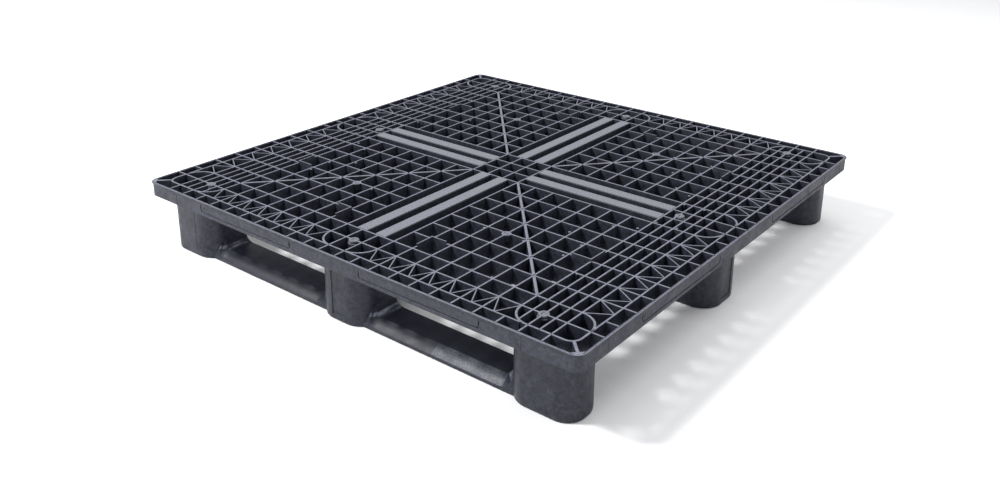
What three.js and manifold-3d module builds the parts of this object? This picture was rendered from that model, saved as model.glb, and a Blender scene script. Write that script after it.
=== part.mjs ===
// Square plastic pallet: one grid deck, three skids with hollow legs,
// eight anti-slip strips and eight lock pins. Millimetres, +Z up, origin on the floor.
import * as THREE from "three";
import Module from "manifold-3d";
import { mergeVertices } from "three/addons/utils/BufferGeometryUtils.js";

// ---- driving dimensions ----
const SIDE = 1140;
const HEIGHT = 156;
const SKIRT = 32;
const GAP = 0.3;
const LIP_OUT = SIDE / 2;
const LIP_H = 4;
const LIP_STEP = 2.5;
const LIP_R = 20;
const WALL_OUT = LIP_OUT - LIP_STEP;
const WALL_IN = WALL_OUT - 4;
const WALL_R = LIP_R - LIP_STEP;
const RIB = 4.5;
const DIAG_RIB = 7;
const DECK_Z = HEIGHT - SKIRT;
// rib lines, one half of the deck (the other half mirrors it)
const CORE = [21.25, 63.75];
const LEG_X = 402;
const LEG_Y = 451;
const LEG_OUT = 541;
const NODE = 494;
const CELLS = 7;
// legs and runners
const LEG_IN_X = LEG_X - 3;
const LEG_IN_Y = LEG_Y - 3;
const LEG_WALL = 5;
const LEG_FLOOR = 4;
const LEG_R = 45;
const CORNER_R = 20;
const LEG_CORNER_R = 38;
const LEG_TOP = DECK_Z - GAP;
const HALF = 64;
const RUN_FRONT = 527;
const RUN_BACK = 447;
const RUN_H = 21;
const RUN_ROOT = 26;
// the outer runners have a low front edge and a wide slope, the middle one narrow slopes
const RUN_EDGE = 8;
const RUN_SLOPE = 22;
const RUN_MID = 55;
const RUN_MID_EDGE = 15;
const RUN_MID_SLOPE = 8;
const RUN_BACK_BEVEL = 5;
const FILLET = 24;
const RAMP_ROOT = 14;
const RAMP_LOW = RUN_EDGE + 2;
// inserts
const STRIP_IN = 12;
const STRIP_OUT = 37;
const STRIP_T = 2.7;
const FLOOR_T = 3;
const HEAD_R = 10;
const HEAD_T = 5;
const SHANK_R = 5;
const BOSS_R = 12.5;
const SOCKET_R = 11;
const PIN_X = 447;
const PIN_MID_X = 428;
const PIN_BOTTOM = 84;
const PIN_TOP = HEIGHT;
const PIN_BEVEL = 0.8;
const DIMPLE_R = 4;
const DIMPLE = 1.6;
const ROUND = 12;
// low L-shaped ridges: cells from the arm to their corner along X and Y, lengths of the two arms
const RIDGES = [[1, 6, 36, 43], [7, 4, -42, -45]];
const RIDGE_H = 4.5;
const RIDGE_W = 3.6;
const RIDGE_ROOT = 6;
// long shallow panels in the side walls, from and to along the side
const PANEL_H = 18;
const PANEL_SILL = 6.5;
const PANEL_DEPTH = 1.2;
const PANELS_FRONT = [[-385, -101], [86, 370]];
const PANELS_SIDE = [[-382, -97], [137, 425]];
// shallow frame on the outer face of a middle leg
const FRAME_HALF = 19;
const FRAME_LOW = 12;
const FRAME_DEPTH = 0.8;

const wasm = await Module();
wasm.setup();

const plastic = new THREE.MeshStandardMaterial({ color: 0x3a3d46, roughness: 0.62, metalness: 0 });
const skidPlastic = new THREE.MeshStandardMaterial({ color: 0x363a43, roughness: 0.6, metalness: 0 });
const grip = new THREE.MeshStandardMaterial({ color: 0x6f727a, roughness: 0.85, metalness: 0 });
const pinPlastic = new THREE.MeshStandardMaterial({ color: 0x4a4d56, roughness: 0.5, metalness: 0 });

// ---- helpers ----
function solid(geometry) {
  const bare = geometry.clone();
  for (const name of Object.keys(bare.attributes)) {
    if (name !== "position") {
      bare.deleteAttribute(name);
    }
  }
  const merged = mergeVertices(bare, 1e-4);
  const mesh = new wasm.Mesh({
    numProp: 3,
    vertProperties: Float32Array.from(merged.attributes.position.array),
    triVerts: Uint32Array.from(merged.index.array),
  });
  return new wasm.Manifold(mesh);
}

function union(items) {
  return wasm.Manifold.union(items);
}

function meshOf(name, body, material) {
  const out = body.getMesh();
  const geometry = new THREE.BufferGeometry();
  geometry.setAttribute("position", new THREE.BufferAttribute(Float32Array.from(out.vertProperties), 3));
  geometry.setIndex(new THREE.BufferAttribute(Uint32Array.from(out.triVerts), 1));
  const flat = geometry.toNonIndexed();
  flat.computeVertexNormals();
  const mesh = new THREE.Mesh(flat, material);
  mesh.name = name;
  return mesh;
}

function shapeOf(points) {
  const flat = points.map(([x, y]) => new THREE.Vector2(x, y));
  if (THREE.ShapeUtils.isClockWise(flat)) {
    flat.reverse();
  }
  return new THREE.Shape(flat);
}

function prism(points, z0, z1, holes = []) {
  const shape = shapeOf(points);
  for (const hole of holes) {
    shape.holes.push(new THREE.Path(hole.map(([x, y]) => new THREE.Vector2(x, y))));
  }
  const geometry = new THREE.ExtrudeGeometry(shape, { depth: z1 - z0, bevelEnabled: false });
  geometry.translate(0, 0, z0);
  return solid(geometry);
}

function box(x0, x1, y0, y1, z0, z1) {
  return prism([[x0, y0], [x1, y0], [x1, y1], [x0, y1]], z0, z1);
}

function cylinder(x, y, r, z0, z1) {
  const points = [];
  for (let i = 0; i < ROUND; i += 1) {
    const a = (2 * Math.PI * i) / ROUND;
    points.push([x + r * Math.cos(a), y + r * Math.sin(a)]);
  }
  return prism(points, z0, z1);
}

// rectangle with its own radius at each corner: [x1y0, x1y1, x0y1, x0y0]
function rounded(x0, x1, y0, y1, radii, steps = 6) {
  const corners = [
    [x1, y0, -90, radii[0]],
    [x1, y1, 0, radii[1]],
    [x0, y1, 90, radii[2]],
    [x0, y0, 180, radii[3]],
  ];
  const points = [];
  for (const [cx, cy, start, r] of corners) {
    if (r <= 0) {
      points.push([cx, cy]);
      continue;
    }
    const ox = cx === x1 ? cx - r : cx + r;
    const oy = cy === y1 ? cy - r : cy + r;
    for (let i = 0; i <= steps; i += 1) {
      const a = ((start + (90 * i) / steps) * Math.PI) / 180;
      points.push([ox + r * Math.cos(a), oy + r * Math.sin(a)]);
    }
  }
  return points;
}

function ordered(a, b) {
  return [Math.min(a, b), Math.max(a, b)];
}

function span(from, to, count) {
  const out = [];
  for (let i = 1; i <= count; i += 1) {
    out.push(from + ((to - from) * i) / count);
  }
  return out;
}

// ---- deck ----
// lines of one half, from the first core line outwards
const halfX = [...CORE, ...span(CORE[1], LEG_X, CELLS), ...span(LEG_X, NODE, 2), LEG_OUT];
const halfY = [...CORE, ...span(CORE[1], LEG_Y, CELLS), NODE, LEG_OUT];
const diagLast = CELLS + 1;

// holes of the (+,+) quadrant, then mirrored
function quadrantHoles() {
  const h = RIB / 2;
  const holes = [];
  for (let i = 1; i < halfX.length; i += 1) {
    for (let j = 1; j < halfY.length; j += 1) {
      const x0 = halfX[i - 1] + h;
      const x1 = halfX[i] - h;
      const y0 = halfY[j - 1] + h;
      const y1 = halfY[j] - h;
      const outX = halfX[i] === LEG_OUT;
      const outY = halfY[j] === LEG_OUT;
      const armX = i === 1 && j >= 2 && j <= diagLast;
      const armY = j === 1 && i >= 2 && i <= diagLast;
      if (armX || armY) {
        continue;
      }
      if (i >= 2 && i <= diagLast && i === j) {
        // cell crossed by the thick diagonal rib
        const slant = Math.hypot(x1 - x0, y1 - y0);
        const sx = (DIAG_RIB * slant) / (2 * (y1 - y0));
        const sy = (DIAG_RIB * slant) / (2 * (x1 - x0));
        holes.push([[x0 + sx, y0], [x1, y0], [x1, y1 - sy]]);
        holes.push([[x0, y0 + sy], [x1 - sx, y1], [x0, y1]]);
        continue;
      }
      // leg corners that round through this cell
      const round =
        (outY && i === 1) ||
        (outX && j === 1) ||
        (outX && halfY[j] === NODE) ||
        (outY && i === diagLast + 1);
      if (round) {
        const left = outY && i > 1;
        const below = outX && j > 1;
        roundedCell(holes, x0, x1, y0, y1, left, below);
        continue;
      }
      if (outX && outY) {
        holes.push(rounded(x0, x1, y0, y1, [0, CORNER_R - h, 0, 0], 3));
        continue;
      }
      holes.push([[x0, y0], [x1, y0], [x1, y1], [x0, y1]]);
    }
  }
  return holes;
}

// the rib of the leg outline bends through the cell; one hole inside, one outside
function roundedCell(holes, x0, x1, y0, y1, left, below) {
  const steps = 4;
  const h = RIB / 2;
  const r = Math.min(x1 - x0, y1 - y0) - 1;
  const cx = left ? x0 + r : x1 - r;
  const cy = below ? y0 + r : y1 - r;
  const sx = left ? -1 : 1;
  const sy = below ? -1 : 1;
  const farX = left ? x1 : x0;
  const farY = below ? y1 : y0;
  const edgeX = left ? x0 : x1;
  const edgeY = below ? y0 : y1;
  const inner = [[farX, farY], [edgeX, farY]];
  const outer = [[edgeX, edgeY]];
  for (let k = 0; k <= steps; k += 1) {
    const a = (Math.PI / 2) * (k / steps);
    inner.push([cx + sx * r * Math.cos(a), cy + sy * r * Math.sin(a)]);
  }
  inner.push([farX, edgeY]);
  const ro = r + 2 * h;
  const a0 = Math.acos(r / ro);
  for (let k = 0; k <= steps; k += 1) {
    const a = Math.PI / 2 - a0 - (Math.PI / 2 - 2 * a0) * (k / steps);
    outer.push([cx + sx * ro * Math.cos(a), cy + sy * ro * Math.sin(a)]);
  }
  holes.push(inner);
  holes.push(outer);
}

// the edge strip has a partition at every second line of the grid
function edgeLines(lines) {
  const inner = lines.slice(1, 2 + CELLS);
  return [...inner.filter((_, i) => i % 2 === 0), inner[CELLS], NODE];
}

// three points of an arc about (centre, centre)
function arc(centre, r, from, to) {
  return [from, (from + to) / 2, to].map((degrees) => {
    const a = (degrees * Math.PI) / 180;
    return [centre + r * Math.cos(a), centre + r * Math.sin(a)];
  });
}

function edgeHoles() {
  const h = RIB / 2;
  const y0 = LEG_OUT + h;
  const y1 = WALL_IN;
  const holes = [];
  const runs = [
    [edgeLines(halfX), false],
    [edgeLines(halfY), true],
  ];
  for (const [lines, swap] of runs) {
    for (let i = 1; i < lines.length; i += 1) {
      const a = lines[i - 1] + h;
      const b = lines[i] - h;
      const cell = [[a, y0], [b, y0], [b, y1], [a, y1]];
      holes.push(swap ? cell.map(([x, y]) => [y, x]) : cell);
    }
  }
  // corner cell: half of the ring between the leg's corner rib and the wall
  const inner = LEG_OUT - CORNER_R;
  const outer = LIP_OUT - LIP_R;
  const half = [
    [NODE + h, y0],
    ...arc(inner, CORNER_R + h, 90, 51),
    ...arc(outer, WALL_IN - outer, 56, 90),
    [NODE + h, y1],
  ];
  holes.push(half);
  holes.push(half.map(([x, y]) => [y, x]));
  return holes;
}

function mirrored(holes) {
  const out = [];
  for (const [sx, sy] of [[1, 1], [-1, 1], [-1, -1], [1, -1]]) {
    for (const hole of holes) {
      out.push(hole.map(([x, y]) => [sx * x, sy * y]));
    }
  }
  return out;
}

// cells that lie on an axis, slots of the cross arms and the centre block
function axisHoles() {
  const h = RIB / 2;
  const c = CORE[0] - h;
  const c0 = CORE[0] + h;
  const c1 = CORE[1] - h;
  const holes = [[[-c, -c], [c, -c], [c, c], [-c, c]]];
  for (const s of [1, -1]) {
    holes.push([[s * c0, -c], [s * c1, -c], [s * c1, c], [s * c0, c]]);
    holes.push([[-c, s * c0], [c, s * c0], [c, s * c1], [-c, s * c1]]);
    for (const [lines, leg, swap] of [[halfX, LEG_X, true], [halfY, LEG_Y, false]]) {
      for (let i = 1; i < lines.length; i += 1) {
        const stops = [lines[i - 1], lines[i]];
        if (swap && lines[i - 1] === LEG_X) {
          stops.splice(1, 0, (lines[i - 1] + lines[i]) / 2);
        }
        for (let k = 1; lines[i] > leg + 1 && k < stops.length; k += 1) {
          const cell = [[-c, s * (stops[k - 1] + h)], [c, s * (stops[k - 1] + h)]];
          cell.push([c, s * (stops[k] - h)], [-c, s * (stops[k] - h)]);
          holes.push(swap ? cell.map(([x, y]) => [y, x]) : cell);
        }
      }
      const a = s * (CORE[1] + h);
      const b = s * (leg - h);
      for (const [u, v] of [[-c1, -STRIP_OUT], [-STRIP_IN, STRIP_IN], [STRIP_OUT, c1]]) {
        const slot = [[u, a], [v, a], [v, b], [u, b]];
        holes.push(swap ? slot.map(([x, y]) => [y, x]) : slot);
      }
      // edge strip cell in front of the middle leg
      const edge = [[-CORE[1] + h, s * (LEG_OUT + h)], [CORE[1] - h, s * (LEG_OUT + h)]];
      edge.push([CORE[1] - h, s * WALL_IN], [-CORE[1] + h, s * WALL_IN]);
      holes.push(swap ? edge.map(([x, y]) => [y, x]) : edge);
    }
  }
  return holes;
}

const PINS = [
  ["front_left", -PIN_X, -NODE],
  ["front_mid", 0, -NODE],
  ["front_right", PIN_X, -NODE],
  ["mid_left", -PIN_MID_X, 0],
  ["mid_right", PIN_MID_X, 0],
  ["rear_left", -PIN_X, NODE],
  ["rear_mid", 0, NODE],
  ["rear_right", PIN_X, NODE],
];

// two L ridges in each quarter of the deck
function ridgeBodies() {
  const w = RIDGE_W / 2;
  const bodies = [];
  for (const [sx, sy] of [[1, 1], [-1, 1], [-1, -1], [1, -1]]) {
    for (const [cellsX, cellsY, armX, armY] of RIDGES) {
      const x = CORE[1] + ((LEG_X - CORE[1]) * cellsX) / CELLS;
      const y = CORE[1] + ((LEG_Y - CORE[1]) * cellsY) / CELLS;
      const u = Math.sign(armX) * w;
      const v = Math.sign(armY) * w;
      const outline = [[x - u, y - v], [x + armX, y - v], [x + armX, y + v], [x + u, y + v]];
      outline.push([x + u, y + armY], [x - u, y + armY]);
      const points = outline.map(([px, py]) => [sx * px, sy * py]);
      bodies.push(prism(points, HEIGHT - RIDGE_ROOT, HEIGHT + RIDGE_H));
    }
  }
  return bodies;
}

// floors of the cross-shaped channels, and the lowered lands that the strips lie on
function channelParts() {
  const floors = [];
  const lands = [];
  const rib = RIB / 2;
  const landTop = HEIGHT - STRIP_T - GAP;
  for (const s of [1, -1]) {
    const [fy0, fy1] = ordered(s * (CORE[1] - 1), s * (LEG_Y + 1));
    const [fx0, fx1] = ordered(s * (CORE[1] - 1), s * (LEG_X + 1));
    floors.push(box(-CORE[1], CORE[1], fy0, fy1, DECK_Z, DECK_Z + FLOOR_T));
    floors.push(box(fx0, fx1, -CORE[1], CORE[1], DECK_Z, DECK_Z + FLOOR_T));
    const [ly0, ly1] = ordered(s * (CORE[1] + rib), s * (LEG_Y - rib));
    const [lx0, lx1] = ordered(s * (CORE[1] + rib), s * (LEG_X - rib));
    for (const t of [1, -1]) {
      const [u0, u1] = ordered(t * (STRIP_IN - 1), t * (STRIP_OUT + 1));
      lands.push(box(u0, u1, ly0, ly1, landTop, HEIGHT + 1));
      lands.push(box(lx0, lx1, u0, u1, landTop, HEIGHT + 1));
    }
  }
  return [floors, lands];
}

function panelCuts() {
  const z = DECK_Z + PANEL_SILL;
  const cuts = [];
  for (const s of [1, -1]) {
    const [w0, w1] = ordered(s * (WALL_OUT - PANEL_DEPTH), s * (WALL_OUT + 1));
    for (const [a, b] of PANELS_FRONT) {
      const [from, to] = ordered(-s * a, -s * b);
      cuts.push(box(from, to, w0, w1, z, z + PANEL_H));
    }
    for (const [a, b] of PANELS_SIDE) {
      const [from, to] = ordered(s * a, s * b);
      cuts.push(box(w0, w1, from, to, z, z + PANEL_H));
    }
  }
  return cuts;
}

function deckBody() {
  const outline = rounded(-WALL_OUT, WALL_OUT, -WALL_OUT, WALL_OUT, [WALL_R, WALL_R, WALL_R, WALL_R], 4);
  const holes = [...mirrored([...quadrantHoles(), ...edgeHoles()]), ...axisHoles()];
  const cells = holes.map((hole) => prism(hole, DECK_Z - 1, HEIGHT + 1));
  const plate = prism(outline, DECK_Z, HEIGHT).subtract(union(cells));
  const root = WALL_OUT - 2;
  const rootR = WALL_R - 2;
  const inside = rounded(-root, root, -root, root, [rootR, rootR, rootR, rootR], 4);
  const outside = rounded(-LIP_OUT, LIP_OUT, -LIP_OUT, LIP_OUT, [LIP_R, LIP_R, LIP_R, LIP_R], 4);
  const lip = prism(outside, HEIGHT - LIP_H, HEIGHT, [inside]);
  const [floors, lands] = channelParts();
  const bosses = PINS.map(([, x, y]) => cylinder(x, y, BOSS_R, DECK_Z, HEIGHT));
  const bores = PINS.map(([, x, y]) => cylinder(x, y, SHANK_R + GAP, DECK_Z - 1, HEIGHT + 1));
  const headLow = PIN_TOP - HEAD_T - GAP;
  const recesses = PINS.map(([, x, y]) => cylinder(x, y, HEAD_R + GAP, headLow, HEIGHT + 1));
  const body = union([plate, lip, ...floors, ...bosses, ...ridgeBodies()]);
  return body.subtract(union([...lands, ...bores, ...recesses, ...panelCuts()]));
}

// ---- skids ----
// leg outline in the deck plan, shrunk by an inset
function legOutline(col, row, inset) {
  const x0 = col === 0 ? -HALF : LEG_IN_X;
  const x1 = col === 0 ? HALF : LEG_OUT;
  const y0 = row === 0 ? -HALF : LEG_IN_Y;
  const y1 = row === 0 ? HALF : LEG_OUT;
  const small = Math.max(3 - inset, 0);
  const big = LEG_R - inset;
  const outer = LEG_CORNER_R - inset;
  // corner radii for the +X +Y leg: [x1y0, x1y1, x0y1, x0y0]
  let radii = [big, outer, big, small];
  if (col === 0 && row === 0) {
    radii = [small, small, small, small];
  } else if (col === 0) {
    radii = [small, big, big, small];
  } else if (row === 0) {
    radii = [big, big, small, small];
  }
  const points = rounded(x0 + inset, x1 - inset, y0 + inset, y1 - inset, radii);
  return points.map(([x, y]) => [col < 0 ? -x : x, row < 0 ? -y : y]);
}

// concave ramp between runner top and leg side, toward +X from x
function ramp(x, toward, y0, y1) {
  const steps = 5;
  const top = RUN_H + FILLET;
  const points = [[x - toward * RAMP_ROOT, RAMP_LOW], [x + toward * FILLET, RAMP_LOW]];
  for (let i = 0; i <= steps; i += 1) {
    const a = (Math.PI / 2) * (i / steps);
    points.push([x + toward * FILLET * (1 - Math.sin(a)), top - FILLET * Math.cos(a)]);
  }
  points.push([x - toward * RAMP_ROOT, top]);
  const geometry = new THREE.ExtrudeGeometry(shapeOf(points), { depth: y1 - y0, bevelEnabled: false });
  geometry.rotateX(Math.PI / 2);
  geometry.translate(0, y1, 0);
  return solid(geometry);
}

function runner(row, x0, x1) {
  // cross-section in (y, z), swept along X
  let profile = [[RUN_BACK, 0], [RUN_FRONT, 0], [RUN_FRONT, RUN_EDGE], [RUN_FRONT - RUN_SLOPE, RUN_H]];
  profile.push([RUN_BACK + RUN_BACK_BEVEL, RUN_H], [RUN_BACK, RUN_H - RUN_BACK_BEVEL]);
  if (row === 0) {
    const flat = RUN_MID - RUN_MID_SLOPE;
    profile = [[-RUN_MID, 0], [RUN_MID, 0], [RUN_MID, RUN_MID_EDGE], [flat, RUN_H]];
    profile.push([-flat, RUN_H], [-RUN_MID, RUN_MID_EDGE]);
  }
  const points = row < 0 ? profile.map(([y, z]) => [-y, z]) : profile;
  const geometry = new THREE.ExtrudeGeometry(shapeOf(points), { depth: x1 - x0, bevelEnabled: false });
  geometry.rotateY(Math.PI / 2);
  geometry.rotateX(Math.PI / 2);
  geometry.translate(x0, 0, 0);
  return solid(geometry);
}

function skidBody(row) {
  const legs = [];
  const hollows = [];
  const sockets = [];
  const bores = [];
  for (const col of [-1, 0, 1]) {
    legs.push(prism(legOutline(col, row, 0), 0, LEG_TOP));
    hollows.push(prism(legOutline(col, row, LEG_WALL), LEG_FLOOR, LEG_TOP + 1));
    if (row === 0 && col === 0) {
      continue;
    }
    const px = row === 0 ? PIN_MID_X * col : PIN_X * col;
    const py = NODE * row;
    sockets.push(cylinder(px, py, SOCKET_R, LEG_FLOOR - 1, LEG_TOP));
    bores.push(cylinder(px, py, SHANK_R + GAP, PIN_BOTTOM - GAP, LEG_TOP + 1));
  }
  const runs = [];
  const front = row === 0 ? RUN_MID - RUN_MID_SLOPE : row * (RUN_FRONT - RUN_SLOPE / 2);
  const back = row === 0 ? RUN_MID_SLOPE - RUN_MID : row * (RUN_BACK + RUN_BACK_BEVEL);
  const [y0, y1] = ordered(front, back);
  for (const s of [-1, 1]) {
    const [x0, x1] = ordered(s * (HALF - RUN_ROOT), s * (LEG_IN_X + RUN_ROOT));
    runs.push(runner(row, x0, x1));
    runs.push(ramp(s * HALF, s, y0, y1));
    runs.push(ramp(s * LEG_IN_X, -s, y0, y1));
  }
  // the runners reach into the legs, so the hollows are cut after they are joined
  let body = union([...legs, ...runs]).subtract(union(hollows));
  body = union([body, ...sockets]).subtract(union(bores));
  return body.subtract(union(faceFrames(row)));
}

// cutters for the shallow frames on the outward faces of the middle legs
function faceFrames(row) {
  const top = LEG_TOP - 4;
  const cuts = [];
  for (const s of row === 0 ? [-1, 1] : [row]) {
    const [a, b] = ordered(s * (LEG_OUT - FRAME_DEPTH), s * (LEG_OUT + 1));
    cuts.push(
      row === 0
        ? box(a, b, -FRAME_HALF, FRAME_HALF, FRAME_LOW, top)
        : box(-FRAME_HALF, FRAME_HALF, a, b, FRAME_LOW, top),
    );
  }
  return cuts;
}

// ---- assembly ----
const group = new THREE.Group();
group.name = "pallet";
group.add(meshOf("deck", deckBody(), plastic));
for (const [name, row] of [["skid_front", -1], ["skid_middle", 0], ["skid_rear", 1]]) {
  group.add(meshOf(name, skidBody(row), skidPlastic));
}

for (const [arm, sx, sy] of [["front", 0, -1], ["rear", 0, 1], ["left", -1, 0], ["right", 1, 0]]) {
  for (const [tag, t] of [["a", -1], ["b", 1]]) {
    const h = RIB / 2 + GAP;
    const leg = sy === 0 ? LEG_X : LEG_Y;
    const s = sx + sy;
    const run = ordered(s * (CORE[1] + h), s * (leg - h));
    const wide = ordered(t * STRIP_IN, t * STRIP_OUT);
    const z0 = HEIGHT - STRIP_T;
    const strip =
      sy === 0
        ? box(run[0], run[1], wide[0], wide[1], z0, HEIGHT)
        : box(wide[0], wide[1], run[0], run[1], z0, HEIGHT);
    group.add(meshOf(`grip_strip_${arm}_${tag}`, strip, grip));
  }
}

for (const [where, x, y] of PINS) {
  const profile = [
    [0, PIN_BOTTOM],
    [SHANK_R - 1, PIN_BOTTOM],
    [SHANK_R, PIN_BOTTOM + 3],
    [SHANK_R, PIN_TOP - HEAD_T],
    [HEAD_R, PIN_TOP - HEAD_T],
    [HEAD_R, PIN_TOP - PIN_BEVEL],
    [HEAD_R - PIN_BEVEL, PIN_TOP],
    [DIMPLE_R, PIN_TOP],
    [DIMPLE_R - PIN_BEVEL, PIN_TOP - DIMPLE],
    [0, PIN_TOP - DIMPLE],
  ].map(([r, z]) => new THREE.Vector2(r, z));
  const geometry = new THREE.LatheGeometry(profile, ROUND);
  geometry.rotateX(Math.PI / 2);
  geometry.translate(x, y, 0);
  group.add(meshOf(`lock_pin_${where}`, solid(geometry), pinPlastic));
}

export default group;
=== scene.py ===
import math

import bmesh
import bpy
from mathutils import Matrix, Vector

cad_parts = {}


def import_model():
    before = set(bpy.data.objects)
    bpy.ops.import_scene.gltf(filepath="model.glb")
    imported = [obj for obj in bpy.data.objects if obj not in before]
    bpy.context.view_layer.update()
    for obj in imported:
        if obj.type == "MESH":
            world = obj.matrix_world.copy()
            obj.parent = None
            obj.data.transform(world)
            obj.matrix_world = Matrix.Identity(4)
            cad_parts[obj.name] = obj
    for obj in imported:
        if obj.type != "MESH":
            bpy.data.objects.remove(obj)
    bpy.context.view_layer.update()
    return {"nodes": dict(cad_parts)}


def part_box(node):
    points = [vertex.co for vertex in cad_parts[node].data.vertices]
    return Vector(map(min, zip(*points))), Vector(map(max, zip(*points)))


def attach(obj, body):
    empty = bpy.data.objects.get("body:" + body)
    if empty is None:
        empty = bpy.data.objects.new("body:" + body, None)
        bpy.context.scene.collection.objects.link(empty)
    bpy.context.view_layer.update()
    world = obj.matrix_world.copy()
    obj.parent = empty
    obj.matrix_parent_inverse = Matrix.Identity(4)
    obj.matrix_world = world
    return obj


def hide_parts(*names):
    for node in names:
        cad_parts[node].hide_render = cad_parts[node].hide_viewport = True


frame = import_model()

# ---- driving sizes, in millimetres, read from the frame where it has them ----
MM = 0.001
deck_low, deck_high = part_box("deck")
strip_low, strip_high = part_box("grip_strip_front_a")
skid_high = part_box("skid_front")[1]
TOP = strip_high.z / MM
DECK_LOW = deck_low.z / MM
RIDGE_TOP = deck_high.z / MM
EDGE = deck_high.x / MM
LEG_TOP = skid_high.z / MM
LEG_OUT = skid_high.x / MM
QUADRANTS = [(1, 1), (-1, 1), (-1, -1), (1, -1)]
AIR = 0.3

# Side wall: the skin, a thin wall behind it, and the lip that stands out above it.
WALL_OUT = EDGE - 2.5
SKIN = 2.6
WALL_IN = WALL_OUT - SKIN
INNER_WALL = 0.9
INNER_WALL_R = 15
SKIN_R = 17
CORNER_R = 20
CORNER_STEPS = 8
LIP_H = 4
LIP_W = 3.8

# Long panels on the front and rear sides and on the two others, from and to.
PANELS_FRONT = [(-385, -101), (86, 370)]
PANELS_SIDE = [(-382, -97), (137, 425)]
PANEL_SILL = 6.5
PANEL_LEDGE = 1.5
PANEL_R = 8
GROOVE = 2.6
VENTS = [-374, -104]
VENT_R = 2.0
VENT_DOWN = 14
MOULD_LINES = [(-470, 455), (-485, 520), (-455, 470), (-520, 485)]

# Lines of the grid, from the centre outward. CORE lies inside the cross, ARM is half its width,
# LEG_X and LEG_Y run over the inner faces of the corner legs, and the V-shaped ribs lie between
# NODE and OUTER.
CORE = 21.25
ARM = 63.75
LEG_X = 402
LEG_Y = 451
NODE = 494
CELLS = 7
CELL_X = (LEG_X - ARM) / CELLS
CELL_Y = (LEG_Y - ARM) / CELLS
GRID_X = [ARM + CELL_X * k for k in range(1, CELLS)]
GRID_Y = [ARM + CELL_Y * k for k in range(1, CELLS)]
NARROW = [LEG_X + (NODE - LEG_X) * k / 4 for k in (1, 2, 3)]

# Ribs, by width, and the solid block in each corner of the deck.
RIB = 3.9
THIN = 2.8
THICK = 6.0
CURVED = RIB + 0.6
RIB_ROUND = 0.9
DRAFT = 1.7
RIB_LOW = DECK_LOW + 1
OUTER = LEG_OUT - RIB / 2
CORNER_BLOCK = [(547, 565), (557, 556), (565, 547), (565, 558), (558, 565)]

# Ridges: the grid crossing where each turns, in cells, and the length of its two arms.
RIDGE = 2.9
RIDGES = [(1, 6, 36, 43), (7, 4, -42, -45)]

# Small round marks of one quadrant, mirrored into the others.
NUBS = [(157, 294), (254, 294), (432, 285), (348, 297), (410, 342), (407, 58)]
NUBS += [(453, 58), (350, 128), (393, 106), (299, 205), (350, 240)]
GATE = (208, 288)

# Legs. The marks on them are a sunk frame on the outer face of each middle leg, and a fine groove
# on two corner legs across from each other.
LEG_R = 45
LEG_CORNER_R = 38
LEG_LAP = 3
SHARP_R = 3
MARK_FRAME = 19
MARK_SEAM = 452
MARK_LOW = 12
MARK_HIGH = LEG_TOP - 4
MARK_DEPTH = 1.3

# Runners.
RUN_H = 21
RUN_EDGE = 8
RUN_SLOPE = 22
RUN_FRONT = 527
RUN_BACK = 447
RUN_MID = 55
FILLET = 24


# ---- mesh helpers ----
def finish_mesh(name, bm, material, smooth=35):
    """Turns a bmesh in millimetres into an object, with smooth shading below an angle."""
    bmesh.ops.remove_doubles(bm, verts=bm.verts, dist=0.001)
    bmesh.ops.recalc_face_normals(bm, faces=bm.faces)
    bmesh.ops.scale(bm, vec=(MM, MM, MM), verts=bm.verts)
    for edge in bm.edges:
        sharp = len(edge.link_faces) != 2 or edge.calc_face_angle(0) > math.radians(smooth)
        edge.smooth = not sharp
    for face in bm.faces:
        face.smooth = True
    mesh = bpy.data.meshes.new(name)
    bm.to_mesh(mesh)
    bm.free()
    mesh.materials.append(material)
    piece = bpy.data.objects.new(name, mesh)
    bpy.context.scene.collection.objects.link(piece)
    return piece


def sweep(bm, path, profile, closed=False):
    """Sweeps a cross-section [(across, height), ...] along a flat path, with mitred corners."""
    count = len(path)
    rings = []
    for i, point in enumerate(path):
        here = Vector(point)
        before = Vector(path[i - 1]) if i > 0 or closed else None
        after = Vector(path[(i + 1) % count]) if i < count - 1 or closed else None
        steps = [v.normalized() for v in (before and here - before, after and after - here) if v]
        along = sum(steps, Vector((0, 0))).normalized()
        across = Vector((-along.y, along.x))
        stretch = 1 / max(along.dot(steps[0]), 0.3)
        ring = [(*(here + across * u * stretch), z) for u, z in profile]
        rings.append([bm.verts.new(co) for co in ring])
    size = len(profile)
    for i in range(count if closed else count - 1):
        a, b = rings[i], rings[(i + 1) % count]
        for j in range(size):
            k = (j + 1) % size
            bm.faces.new((a[j], a[k], b[k], b[j]))
    if not closed:
        bm.faces.new(rings[0])
        bm.faces.new(rings[-1])


def rib_profile(width, low, high, draft=0.5, soft=RIB_ROUND):
    """Cross-section of a moulded rib: a little wider at the foot, with softened top edges."""
    h = width / 2
    k = soft * 0.3
    return [
        (-h - draft, low), (h + draft, low), (h, high - soft), (h - k, high - k),
        (h - soft, high), (soft - h, high), (k - h, high - k), (-h, high - soft),
    ]


def arc(cx, cy, r, start, end, steps=10):
    """Points on an arc, angles in degrees."""
    turn = [math.radians(start + (end - start) * i / steps) for i in range(steps + 1)]
    return [(cx + r * math.cos(a), cy + r * math.sin(a)) for a in turn]


def rounded_rect(x0, x1, y0, y1, radii, steps=10):
    """Outline with its own radius at each corner, in the order x1y0, x1y1, x0y1, x0y0."""
    r = [max(v, 0.3) for v in radii]
    return [
        *arc(x1 - r[0], y0 + r[0], r[0], -90, 0, steps),
        *arc(x1 - r[1], y1 - r[1], r[1], 0, 90, steps),
        *arc(x0 + r[2], y1 - r[2], r[2], 90, 180, steps),
        *arc(x0 + r[3], y0 + r[3], r[3], 180, 270, steps),
    ]


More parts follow.
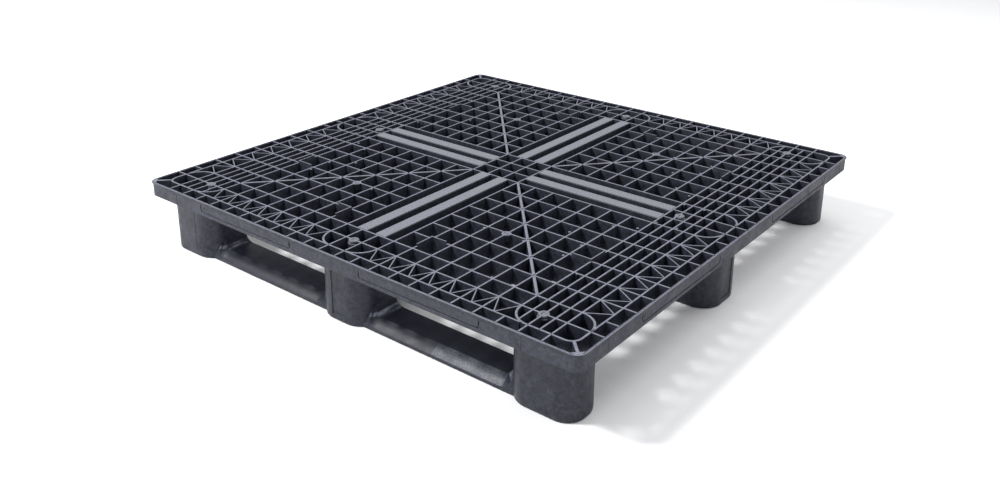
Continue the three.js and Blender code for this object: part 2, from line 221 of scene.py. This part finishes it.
def loft(bm, loops):
    """Joins loops of points [(x, y, z), ...] of equal length, and caps both ends."""
    rings = [[bm.verts.new(co) for co in loop] for loop in loops]
    size = len(rings[0])
    for a, b in zip(rings, rings[1:]):
        for j in range(size):
            k = (j + 1) % size
            bm.faces.new((a[j], a[k], b[k], b[j]))
    bm.faces.new(rings[0])
    bm.faces.new(rings[-1])


def disc(bm, x, y, rings, steps=28):
    """A turned piece on an upright axis from its (radius, height) rings."""
    loops = []
    for r, z in rings:
        loops.append([(px, py, z) for px, py in arc(x, y, r, 0, 360, steps)[:-1]])
    loft(bm, loops)


def mirror(points, sx, sy):
    """Carries a path from the (+, +) quadrant into another one."""
    return [(sx * x, sy * y) for x, y in points]


def on_side(side, outline, depth):
    """Stands an outline [(across, height), ...] up on one of the four sides of the deck."""
    turn = Matrix.Rotation(math.radians(90 * side), 3, "Z")
    return [tuple(turn @ Vector((u, -depth, z))) for u, z in outline]


def pin_nodes():
    """Names of the frame's lock pins."""
    return [name for name in frame["nodes"] if name.startswith("lock_pin")]


def plan_centre(node):
    """Centre of a node's box in plan, in millimetres."""
    low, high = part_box(node)
    return (low.x + high.x) / 2 / MM, (low.y + high.y) / 2 / MM


# ---- deck ----
def deck_runs():
    """(line, from, to) of the ribs along Y, then of those along X, for the (+, +) quadrant."""
    along_y = [(CORE, 0, ARM), (CORE, LEG_Y, WALL_IN), (ARM, 0, NODE), (ARM, LEG_OUT, WALL_IN)]
    along_y += [(x, ARM, WALL_IN) for x in GRID_X]
    along_y += [(LEG_X, 0, NODE), (LEG_X, LEG_OUT, WALL_IN), (NARROW[0], 0, LEG_OUT - 9)]
    along_y += [(NARROW[1], 0, WALL_IN), (NARROW[2], 0, LEG_OUT), (NODE, 0, WALL_IN)]
    along_y += [(OUTER, 0, NODE)]
    along_x = [(CORE, 0, ARM), (CORE, LEG_X, WALL_IN), (ARM, 0, NODE), (ARM, LEG_OUT, WALL_IN)]
    along_x += [(y, ARM, WALL_IN) for y in GRID_Y]
    along_x += [(LEG_Y, 0, NODE), (LEG_Y, LEG_OUT, WALL_IN), (NODE, 0, WALL_IN)]
    along_x += [(OUTER, 0, LEG_X + 30)]
    return along_y, along_x


def grid_ribs(bm):
    """The square grid. Ribs along X end a hair lower, so that crossing tops never coincide."""
    along_y, along_x = deck_runs()
    high_y = rib_profile(RIB, RIB_LOW, TOP, draft=DRAFT)
    high_x = rib_profile(RIB, RIB_LOW, TOP - 0.15, draft=DRAFT)
    for sx, sy in QUADRANTS:
        for x, a, b in along_y:
            sweep(bm, mirror([(x, a), (x, b)], sx, sy), high_y)
        for y, a, b in along_x:
            sweep(bm, mirror([(a, y), (b, y)], sx, sy), high_x)


def leg_curves(bm):
    """Ribs that follow the outlines of the legs below."""
    profile = rib_profile(CURVED, RIB_LOW, TOP)
    inner = NODE + 1
    r = OUTER - inner
    corner = [
        *arc(LEG_X + r, inner, r, 180, 90)[:-1],
        *arc(OUTER - CORNER_R, OUTER - CORNER_R, CORNER_R, 90, 0),
        *arc(OUTER - r, LEG_Y + r, r, 0, -90),
    ]
    front = arc(ARM - r, OUTER - r, r, 0, 90)
    side = arc(OUTER - r, ARM - r, r, 90, 0)
    for sx, sy in QUADRANTS:
        sweep(bm, mirror(corner, sx, sy), profile)
        sweep(bm, mirror(front, sx, sy), profile)
        sweep(bm, mirror(side, sx, sy), profile)


def truss_ribs(bm):
    """V-shaped ribs in the rows between the legs."""
    profile = rib_profile(THIN, DECK_LOW + 3, TOP - 0.3)
    for sx, sy in QUADRANTS:
        for k in range(CELLS):
            x0, y0 = ARM + CELL_X * k, ARM + CELL_Y * k
            row = [(x0, NODE), (x0 + CELL_X / 2, OUTER), (x0 + CELL_X, NODE)]
            column = [(NODE, y0), (OUTER, y0 + CELL_Y / 2), (NODE, y0 + CELL_Y)]
            for path in (row, column):
                for a, b in zip(path, path[1:]):
                    sweep(bm, mirror([a, b], sx, sy), profile)


def diagonal_ribs(bm):
    """Thick ribs from the cross to the legs and from the legs to the corner blocks."""
    profile = rib_profile(THICK, RIB_LOW, TOP, soft=1.1)
    out = LEG_OUT - CORNER_R * 0.3
    for sx, sy in QUADRANTS:
        sweep(bm, mirror([(ARM, ARM), (LEG_X, LEG_Y)], sx, sy), profile)
        sweep(bm, mirror([(out, out), (WALL_IN - 4, WALL_IN - 4)], sx, sy), profile)
        block = mirror(CORNER_BLOCK, sx, sy)
        loft(bm, [[(x, y, z) for x, y in block] for z in (RIB_LOW, TOP - 0.2)])


def arm_channels(bm):
    """Closed channels of the cross, with the lands that carry the anti-slip strips."""
    centre = abs(strip_low.x + strip_high.x) / MM / 2
    width = (strip_high.x - strip_low.x) / MM - 1
    land = rib_profile(width, RIB_LOW, strip_low.z / MM - AIR, draft=0.4)
    web = rib_profile(2 * ARM, DECK_LOW, DECK_LOW + 3, draft=0, soft=0.5)
    for s in (1, -1):
        for along_x, leg_line in ((False, LEG_Y), (True, LEG_X)):
            for across, profile in ((centre, land), (-centre, land), (0, web)):
                path = [(across, s * ARM), (across, s * leg_line)]
                path = [(y, x) for x, y in path] if along_x else path
                sweep(bm, path, profile)


def inner_wall(bm):
    """Thin wall behind the skin; it shows as a dark line in the grooves round the panels."""
    mid = WALL_IN
    wall = rounded_rect(-mid, mid, -mid, mid, [INNER_WALL_R] * 4, CORNER_STEPS)
    h = INNER_WALL / 2
    low, high = DECK_LOW + 0.5, TOP - 0.8
    sweep(bm, wall, [(-h, low), (h, low), (h, high), (-h, high)], closed=True)


def lip(bm):
    """Rounded lip at the top of the side wall. Across a swept outline, minus is outward."""
    h = LIP_W / 2
    mid = EDGE - h
    outline = rounded_rect(-mid, mid, -mid, mid, [CORNER_R - h] * 4, CORNER_STEPS)
    low = TOP - LIP_H
    bead = [(h, low), (1 - h, low), (0.3 - h, low + 0.8), (-h, low + 1.8), (-h, TOP - 1.2)]
    bead += [(0.4 - h, TOP - 0.35), (1.2 - h, TOP), (h - 0.6, TOP), (h, TOP - 0.6)]
    sweep(bm, outline, bead, closed=True)


def panel_plates(a, b, low, high):
    """Flat pieces of the skin round one long panel, and the panel's own plate inside its groove."""
    sill, ledge, r, g = low + PANEL_SILL, high - PANEL_LEDGE, PANEL_R, GROOVE
    plates = [
        [(a, low), (b, low), (b, sill), (a, sill)],
        [(a, ledge), (b, ledge), (b, high), (a, high)],
    ]
    for x, z, start in ((a, sill, 180), (b, sill, 270), (b, ledge, 0), (a, ledge, 90)):
        cx = x + r if x == a else x - r
        cz = z + r if z == sill else z - r
        plates.append([(x, z)] + arc(cx, cz, r, start, start + 90, 6))
    plates.append(rounded_rect(a + g, b - g, sill + g, ledge + 0.5, [r - g, 0.5, 0.5, r - g], 6))
    return plates


def skirt_skin(bm):
    """Outer skin of the side wall, cut by a fine groove round each long panel."""
    low, high = DECK_LOW, TOP - LIP_H + 0.5
    reach = WALL_OUT - SKIN_R
    for side in range(4):
        panels = PANELS_FRONT if side % 2 == 0 else PANELS_SIDE
        stops = [-reach] + [v for pair in panels for v in pair] + [reach]
        plates = []
        for x0, x1 in zip(stops[::2], stops[1::2]):
            plates.append([(x0, low), (x1, low), (x1, high), (x0, high)])
        for a, b in panels:
            plates += panel_plates(a, b, low, high)
        for plate in plates:
            loft(bm, [on_side(side, plate, depth) for depth in (WALL_IN, WALL_OUT)])
    h = SKIN / 2
    mid = WALL_OUT - h
    corners = rounded_rect(-mid, mid, -mid, mid, [SKIN_R - h] * 4, CORNER_STEPS)
    count = CORNER_STEPS + 1
    for i in range(4):
        bend = corners[count * i:count * (i + 1)]
        sweep(bm, bend, [(-h, low), (h, low), (h, high), (-h, high)])


def ridges(bm):
    """Low L-shaped ridges that stand a little above the grid."""
    profile = rib_profile(RIDGE, TOP - 8, RIDGE_TOP, draft=0.6)
    for sx, sy in QUADRANTS:
        for cells_x, cells_y, arm_x, arm_y in RIDGES:
            x, y = ARM + CELL_X * cells_x, ARM + CELL_Y * cells_y
            sweep(bm, mirror([(x + arm_x, y), (x, y), (x, y + arm_y)], sx, sy), profile)


def bosses(bm):
    """Round bosses that carry the lock pins, gate marks and small ejector nubs."""
    boss = [(12.5, RIB_LOW), (12.5, TOP - 6.4), (11.6, TOP - 5.5)]
    nub = [(3.4, RIB_LOW), (3.2, TOP - 0.7), (2.5, TOP - 0.1)]
    gate = [(10.6, TOP - 14), (10.4, TOP - 1.0), (9.6, TOP - 0.25), (6, TOP - 0.25), (5.2, TOP - 1.2)]
    for name in pin_nodes():
        disc(bm, *plan_centre(name), boss)
    for sx, sy in QUADRANTS:
        for x, y in NUBS:
            disc(bm, sx * x, sy * y, nub, 16)
        disc(bm, sx * GATE[0], sy * GATE[1], gate)


def side_marks(bm):
    """Fine upright mould lines on the side walls."""
    low, high = DECK_LOW + 0.5, TOP - LIP_H - 1
    for side, lines in enumerate(MOULD_LINES):
        for x in lines:
            plate = [(x - 0.5, low), (x + 0.5, low), (x + 0.5, high), (x - 0.5, high)]
            loft(bm, [on_side(side, plate, depth) for depth in (WALL_OUT - 0.3, WALL_OUT + 0.4)])


def make_deck(material):
    """Everything of the deck inside its outer skin."""
    bm = bmesh.new()
    grid_ribs(bm)
    leg_curves(bm)
    truss_ribs(bm)
    diagonal_ribs(bm)
    arm_channels(bm)
    ridges(bm)
    bosses(bm)
    inner_wall(bm)
    return finish_mesh("deck_grid", bm, material)


def make_vents(material):
    """Small vent plugs near the ends of the long panels, coloured near-black as painted shade standing in
    for small holes.
    """
    bm = bmesh.new()
    rings = [(VENT_R, WALL_OUT - 1), (VENT_R, WALL_OUT), (VENT_R - 0.4, WALL_OUT + 0.2)]
    for side in range(4):
        for x in VENTS:
            loops = []
            for r, depth in rings:
                loops.append(on_side(side, arc(x, TOP - VENT_DOWN, r, 0, 360, 14)[:-1], depth))
            loft(bm, loops)
    return finish_mesh("deck_vents", bm, material)


def make_skirt(material):
    """The lip and the outer skin of the deck."""
    bm = bmesh.new()
    lip(bm)
    skirt_skin(bm)
    side_marks(bm)
    return finish_mesh("deck_skirt", bm, material)


# ---- skids ----
def leg_outline(col, row, inset, cut, steps=12):
    """Outline of one leg in plan, shrunk by an inset, with a mark cut into its outer face.

    col and row are -1, 0 or 1. The outline is drawn for the (+, +) side and mirrored at the end.
    """
    x0, x1 = (-ARM, ARM) if col == 0 else (LEG_X - LEG_LAP, LEG_OUT)
    y0, y1 = (-ARM, ARM) if row == 0 else (LEG_Y - LEG_LAP, LEG_OUT)
    small, big, outer = SHARP_R - inset, LEG_R - inset, LEG_CORNER_R - inset
    radii = [big, outer, big, small]
    if col == 0 and row == 0:
        radii = [small] * 4
    elif col == 0:
        radii = [small, big, big, small]
    elif row == 0:
        radii = [big, big, small, small]
    points = rounded_rect(x0 + inset, x1 - inset, y0 + inset, y1 - inset, radii, steps)
    frame_edge, seam = MARK_FRAME, MARK_SEAM
    across = [(frame_edge + 0.5, 0), (frame_edge, 1), (-frame_edge, 1), (-frame_edge - 0.5, 0)]
    if col * row > 0:
        across = [(seam + 0.8, 0), (seam, 1), (seam - 0.8, 0)]
    if row != 0 and col * row >= 0:
        points[2 * steps + 2:2 * steps + 2] = [(u, y1 - inset - cut * k) for u, k in across]
    if row == 0 and col != 0:
        points[steps + 1:steps + 1] = [(x1 - inset - cut * k, -u) for u, k in across]
    return [((col or 1) * x, (row or 1) * y) for x, y in points]


def leg(bm, col, row):
    """One hollow leg as (height, inset, mark depth) levels: up its outside, then down its inside."""
    low, high, cut = MARK_LOW, MARK_HIGH, MARK_DEPTH
    levels = [(0, 3.2, 0), (0.6, 1.6, 0), (2.0, 0.5, 0), (4.5, 0, 0), (low, 0, 0), (low + 0.6, 0, cut)]
    levels += [(high - 0.6, 0, cut), (high, 0, 0), (LEG_TOP - 1, 0, 0), (LEG_TOP - 0.2, 0.6, 0)]
    levels += [(LEG_TOP - 0.2, 4.4, 0), (LEG_TOP - 1, 5, 0), (4, 5.6, 0)]
    loops = []
    for z, inset, depth in levels:
        loops.append([(x, y, z) for x, y in leg_outline(col, row, inset, depth)])
    loft(bm, loops)


def ramp_height(x, x0, x1):
    """How far the runner's top rises in its concave ends."""
    near = min(x - x0, x1 - x)
    if near >= FILLET:
        return 0.0
    gap = max(near, 0) / FILLET
    return FILLET * (1 - math.sqrt(max(0.0, 1 - (1 - gap) ** 2)))


def runner_section(row, up):
    """Cross-section [(y, z), ...] of a runner whose top is raised by up."""
    if row == 0:
        front, back = RUN_MID, -RUN_MID
        return [
            (back + 1, 0), (front - 1, 0), (front, 1), (front, 14), (front - 0.8, 15 + up * 0.3),
            (front - 8, RUN_H + up), (back + 8, RUN_H + up), (back + 0.8, 15 + up * 0.3),
            (back, 14), (back, 1),
        ]
    front, back = RUN_FRONT, RUN_BACK
    rise = (RUN_H - RUN_EDGE) / RUN_SLOPE
    return [
        (back + 1, 0), (front - 1, 0), (front, 1),
        (front, RUN_EDGE - 1), (front - 0.8, RUN_EDGE + up * 0.1),
        (front - 3, RUN_EDGE + 3 * rise + up * 0.2), (front - 3.5, RUN_EDGE + 2 * rise + up * 0.2),
        (front - 4.6, RUN_EDGE + 4 * rise + up * 0.3),
        (front - RUN_SLOPE, RUN_H + up), (back + 6, RUN_H + up),
        (back + 3, RUN_H - 0.8 + up * 0.9), (back, RUN_H - 5 + up * 0.4), (back, 1),
    ]


def runner(bm, row, x0, x1):
    """One span between two legs: low front edge, slope, flat top, ends that sweep up."""
    sweeps = [FILLET * (1 - math.cos(math.pi / 2 * k / 10)) for k in range(11)]
    stations = [x0 - 22, x0 - 8, x1 + 8, x1 + 22]
    stations += [x0 + s for s in sweeps]
    stations += [x0 + (x1 - x0) * k / 8 for k in range(1, 8)]
    stations += [x1 - s for s in sweeps]
    loops = []
    for x in sorted(stations):
        section = runner_section(row, ramp_height(x, x0, x1))
        loops.append([(x, (row or 1) * y, z) for y, z in section])
    loft(bm, loops)


def make_skid(name, row, material):
    """Three legs and the two runner spans between them."""
    bm = bmesh.new()
    for col in (-1, 0, 1):
        leg(bm, col, row)
    for s in (-1, 1):
        x0, x1 = sorted((s * ARM, s * (LEG_X - LEG_LAP)))
        runner(bm, row, x0, x1)
    return finish_mesh(name, bm, material, 24)


# ---- lock pins ----
def make_pin(node, material):
    """A turned pin: a shank, and a round head with a recess in its top."""
    low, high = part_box(node)
    r, z = (high.x - low.x) / 2 / MM, TOP + 0.4
    bm = bmesh.new()
    rings = [(4, low.z / MM), (5, low.z / MM + 3), (5, z - 5), (r - 0.3, z - 5), (r, z - 4.4)]
    rings += [(r, z - 1.1), (r - 0.5, z - 0.3), (r - 1.4, z), (5.4, z), (4.9, z - 0.5)]
    rings += [(4.5, z - 1.7), (4.0, z - 2.0), (0.6, z - 2.0)]
    disc(bm, *plan_centre(node), rings, 32)
    return finish_mesh(node + "_turned", bm, material)


# ---- materials ----
def node_material(name):
    """An empty material with one shader."""
    mat = bpy.data.materials.new(name)
    mat.use_nodes = True
    tree = mat.node_tree
    tree.nodes.clear()
    out = tree.nodes.new("ShaderNodeOutputMaterial")
    shader = tree.nodes.new("ShaderNodeBsdfPrincipled")
    tree.links.new(shader.outputs["BSDF"], out.inputs["Surface"])
    return mat, tree, shader


def noise(tree, scale, detail=4, stretch=(1, 1, 1), rough=0.55):
    """Fractal noise in object coordinates."""
    coord = tree.nodes.new("ShaderNodeTexCoord")
    mapping = tree.nodes.new("ShaderNodeMapping")
    mapping.inputs["Scale"].default_value = stretch
    tex = tree.nodes.new("ShaderNodeTexNoise")
    tex.inputs["Scale"].default_value = scale
    tex.inputs["Detail"].default_value = detail
    tex.inputs["Roughness"].default_value = rough
    tree.links.new(coord.outputs["Object"], mapping.inputs["Vector"])
    tree.links.new(mapping.outputs["Vector"], tex.inputs["Vector"])
    return tex.outputs["Fac"]


def ramp(tree, value, stops):
    """A colour between two stops [(place, colour), (place, colour)]."""
    node = tree.nodes.new("ShaderNodeValToRGB")
    for element, (place, colour) in zip(node.color_ramp.elements, stops):
        element.position = place
        element.color = (*colour, 1)
    tree.links.new(value, node.inputs["Fac"])
    return node.outputs["Color"]


def spread(tree, value, low, high, to_low, to_high):
    """Maps a value from one range to another, held at both ends."""
    node = tree.nodes.new("ShaderNodeMapRange")
    for key, number in (("From Min", low), ("From Max", high), ("To Min", to_low), ("To Max", to_high)):
        node.inputs[key].default_value = number
    tree.links.new(value, node.inputs["Value"])
    return node.outputs["Result"]


def blend(tree, factor, under, tint):
    """Lays a fixed colour over another, fully where the factor is 1."""
    node = tree.nodes.new("ShaderNodeMix")
    node.data_type = "RGBA"
    tree.links.new(factor, node.inputs["Factor"])
    tree.links.new(under, node.inputs["A"])
    node.inputs["B"].default_value = (*tint, 1)
    return node.outputs["Result"]


def multiply(tree, a, b):
    """Product of two values."""
    node = tree.nodes.new("ShaderNodeMath")
    node.operation = "MULTIPLY"
    tree.links.new(a, node.inputs[0])
    tree.links.new(b, node.inputs[1])
    return node.outputs["Value"]


def upward(tree, low, high):
    """1 on faces that look up, 0 on walls."""
    geometry = tree.nodes.new("ShaderNodeNewGeometry")
    split = tree.nodes.new("ShaderNodeSeparateXYZ")
    tree.links.new(geometry.outputs["Normal"], split.inputs["Vector"])
    return spread(tree, split.outputs["Z"], low, high, 0, 1)


def bump(tree, shader, height, strength, distance, under=None):
    """Relief from a height, laid over another relief if one is given."""
    node = tree.nodes.new("ShaderNodeBump")
    node.inputs["Strength"].default_value = strength
    node.inputs["Distance"].default_value = distance
    tree.links.new(height, node.inputs["Height"])
    if under:
        tree.links.new(under, node.inputs["Normal"])
    tree.links.new(node.outputs["Normal"], shader.inputs["Normal"])
    return node.outputs["Normal"]


def axis_value(tree, axis):
    """One object coordinate, in metres, as a value."""
    coord = tree.nodes.new("ShaderNodeTexCoord")
    split = tree.nodes.new("ShaderNodeSeparateXYZ")
    tree.links.new(coord.outputs["Object"], split.inputs["Vector"])
    return split.outputs[axis]


def within(tree, axis, low, high, soft):
    """1 between two places along an axis, 0 outside, with soft ends."""
    place = axis_value(tree, axis)
    rise = spread(tree, place, low - soft, low, 0, 1)
    fall = spread(tree, place, high, high + soft, 1, 0)
    return multiply(tree, rise, fall)


def moulded_plastic(name, dark, mid, top_wear_and_painted_shading, top_wear_and_shading_amount, rough, facing=(0.75, 0.97)):
    """Recycled plastic: mottled body, fine moulded grain, and another tone on faces that look up: wear
    with a painted sheen where it is lighter, painted shade where it is darker.
    """
    mat, tree, shader = node_material(name)
    mottle = noise(tree, 95, 10, rough=0.8)
    flow = noise(tree, 11, 6, stretch=(1, 1, 4), rough=0.7)
    body = ramp(tree, mottle, [(0.36, dark), (0.64, mid)])
    body = blend(tree, spread(tree, flow, 0.35, 0.7, 0, 0.3), body, dark)
    # Faces that look up blend to another tone: on the deck parts a lighter tone that is wear with a
    # painted sheen, on the skids a darker tone that is painted shade.
    top = upward(tree, *facing)
    patchy = spread(tree, noise(tree, 130, 6, rough=0.75), 0.32, 0.68, top_wear_and_shading_amount * 0.45, top_wear_and_shading_amount)
    colour = blend(tree, multiply(tree, top, patchy), body, top_wear_and_painted_shading)
    gloss = spread(tree, noise(tree, 35, 4), 0.3, 0.7, rough - 0.08, rough + 0.1)
    tree.links.new(gloss, shader.inputs["Roughness"])
    shader.inputs["Specular IOR Level"].default_value = 0.36
    coarse = bump(tree, shader, mottle, 0.35, 0.0012)
    bump(tree, shader, noise(tree, 900, 3), 0.4, 0.00025, coarse)
    tree.links.new(colour, shader.inputs["Base Color"])
    return mat, tree, shader, colour


def skid_material():
    """Skid plastic, with a painted highlight streak where the runners sweep up, painted shade on faces
    that look up, and scuffed on one sloped edge.
    """
    # The third colour is painted shade: faces that look up, runner tops and slopes, are darkened by it.
    dark, mid, top_wear_and_painted_shading = (0.004, 0.005, 0.0095), (0.042, 0.045, 0.067), (0.013, 0.016, 0.027)
    mat, tree, shader, colour = moulded_plastic("skid_plastic", dark, mid, top_wear_and_painted_shading, 1, 0.42, (0.5, 0.8))
    # Painted highlight: a light streak on the concave ramps where the runners sweep up.
    bend = multiply(tree, upward(tree, 0.3, 0.6), within(tree, "Z", 0.0235, 0.028, 0.002))
    highlight_streak = spread(tree, noise(tree, 28, 5, stretch=(4, 1, 1)), 0.42, 0.6, 0, 0.9)
    colour = blend(tree, multiply(tree, bend, highlight_streak), colour, (0.30, 0.32, 0.40))
    zone = multiply(tree, within(tree, "X", 0.224, 0.385, 0.001), within(tree, "Y", -0.530, -0.504, 0.001))
    scuff = spread(tree, noise(tree, 420, 6, rough=0.85), 0.42, 0.62, 0.05, 0.95)
    scuff = multiply(tree, multiply(tree, zone, upward(tree, 0.5, 0.7)), scuff)
    colour = blend(tree, scuff, colour, (0.135, 0.145, 0.18))
    tree.links.new(colour, shader.inputs["Base Color"])
    return mat


def grip_material():
    """Grey strips with a coarse anti-slip grain."""
    mat, tree, shader = node_material("grip_strip")
    speck = noise(tree, 520, 5, rough=0.8)
    colour = ramp(tree, speck, [(0.36, (0.075, 0.079, 0.095)), (0.66, (0.25, 0.26, 0.30))])
    tree.links.new(colour, shader.inputs["Base Color"])
    shader.inputs["Roughness"].default_value = 0.62
    bump(tree, shader, speck, 0.6, 0.0008)
    return mat


def pin_material():
    """Light grey plastic of the pins."""
    mat, tree, shader = node_material("pin_plastic")
    colour = ramp(tree, noise(tree, 180, 4), [(0.35, (0.10, 0.105, 0.12)), (0.7, (0.2, 0.21, 0.235))])
    tree.links.new(colour, shader.inputs["Base Color"])
    tree.links.new(spread(tree, noise(tree, 90, 3), 0.3, 0.7, 0.3, 0.5), shader.inputs["Roughness"])
    bump(tree, shader, noise(tree, 700, 2), 0.25, 0.0003)
    return mat


def floor_material():
    """Near-white matt floor."""
    mat, tree, shader = node_material("studio_floor")
    colour = ramp(tree, noise(tree, 3, 3), [(0.3, (0.90, 0.90, 0.905)), (0.7, (0.92, 0.92, 0.92))])
    tree.links.new(colour, shader.inputs["Base Color"])
    shader.inputs["Roughness"].default_value = 0.85
    shader.inputs["Specular IOR Level"].default_value = 0.1
    return mat


# ---- pieces ----
# Deck grid: the skirt's plastic painted darker, as painted shade for the cells; the rib tops get a lighter
# tone that is wear with a painted sheen.
grid_plastic_painted_shade = moulded_plastic(
    "grid_plastic_painted_shade",
    dark=(0.004, 0.0045, 0.007),
    mid=(0.030, 0.034, 0.056),
    top_wear_and_painted_shading=(0.225, 0.23, 0.285),
    top_wear_and_shading_amount=0.95,
    rough=0.52,
)[0]
# Skirt: faces that look up, such as the lip top, get a lighter tone that is wear with a painted sheen.
skirt_plastic = moulded_plastic(
    "skirt_plastic",
    dark=(0.011, 0.0125, 0.019),
    mid=(0.058, 0.061, 0.086),
    top_wear_and_painted_shading=(0.19, 0.195, 0.245),
    top_wear_and_shading_amount=0.9,
    rough=0.52,
)[0]
skid_plastic = skid_material()
# Near-black all through: painted shade standing in for the small vent holes.
vent_painted_hole_shade = moulded_plastic(
    "vent_painted_hole_shade",
    dark=(0.001, 0.001, 0.001),
    mid=(0.004, 0.004, 0.005),
    top_wear_and_painted_shading=(0.004, 0.004, 0.005),
    top_wear_and_shading_amount=0.2,
    rough=0.6,
)[0]
grip = grip_material()
pin_plastic = pin_material()

for part in (make_deck(grid_plastic_painted_shade), make_skirt(skirt_plastic), make_vents(vent_painted_hole_shade)):
    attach(part, "root")
    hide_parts("deck")

for node, row in (("skid_front", -1), ("skid_middle", 0), ("skid_rear", 1)):
    skid = make_skid(node + "_moulding", row, skid_plastic)
    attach(skid, "root")
    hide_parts(node)

for node in pin_nodes():
    pin = make_pin(node, pin_plastic)
    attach(pin, "root")
    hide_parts(node)

for node, strip in frame["nodes"].items():
    if node.startswith("grip_strip"):
        strip.data.materials.clear()
        strip.data.materials.append(grip)
        soften = strip.modifiers.new("soft_edges", "BEVEL")
        soften.width = 0.0006
        soften.segments = 2


# ---- studio ----
def floor(half=30):
    """A flat square floor, in metres."""
    bm = bmesh.new()
    for x, y in ((-half, -half), (half, -half), (half, half), (-half, half)):
        bm.verts.new((x, y, 0))
    bm.faces.new(bm.verts)
    mesh = bpy.data.meshes.new("studio_floor")
    bm.to_mesh(mesh)
    bm.free()
    mesh.materials.append(floor_material())
    obj = bpy.data.objects.new("studio_floor", mesh)
    bpy.context.scene.collection.objects.link(obj)


def area_light(name, place, aim, size, power):
    """A rectangular lamp at a place, turned to face another."""
    data = bpy.data.lights.new(name, "AREA")
    data.shape = "RECTANGLE"
    data.size, data.size_y = size
    data.energy = power
    lamp = bpy.data.objects.new(name, data)
    lamp.location = place
    lamp.rotation_euler = (Vector(aim) - Vector(place)).to_track_quat("-Z", "Y").to_euler()
    bpy.context.scene.collection.objects.link(lamp)


def world(strength):
    """Even, faintly cool light from all round."""
    sky = bpy.data.worlds.new("studio")
    sky.use_nodes = True
    back = sky.node_tree.nodes["Background"]
    back.inputs["Color"].default_value = (0.97, 0.98, 1.0, 1)
    back.inputs["Strength"].default_value = strength
    bpy.context.scene.world = sky


def camera(place, heading, pitch, roll, lens, lift):
    """heading and pitch of the view line in degrees, pitch below the horizon."""
    a, p, r = (math.radians(v) for v in (heading, pitch, roll))
    ahead = Vector((math.cos(a) * math.cos(p), math.sin(a) * math.cos(p), -math.sin(p)))
    right = Vector((math.sin(a), -math.cos(a), 0))
    up = right.cross(ahead)
    right, up = right * math.cos(r) - up * math.sin(r), up * math.cos(r) + right * math.sin(r)
    data = bpy.data.cameras.new("camera")
    data.sensor_width = 36
    data.lens = lens
    data.shift_y = lift
    cam = bpy.data.objects.new("camera", data)
    turn = Matrix((right, up, -ahead)).transposed().to_4x4()
    cam.matrix_world = Matrix.Translation(place) @ turn
    bpy.context.scene.collection.objects.link(cam)
    bpy.context.scene.camera = cam


floor()
world(0.56)
area_light("key", (-2.1, -2.3, 3.8), (0, 0, 0), (0.8, 0.7), 235)
area_light("top", (0.7, 1.4, 3.6), (0.4, 0.3, 0), (3.2, 2.6), 84)
area_light("low", (-1.2, -3.3, 0.45), (-0.1, -0.3, 0.05), (2.4, 0.6), 5)
camera((1.265, -1.648, 0.954), 128.32, 18.81, -0.38, 35.05, -0.12)
bpy.context.scene.view_settings.view_transform = "Standard"
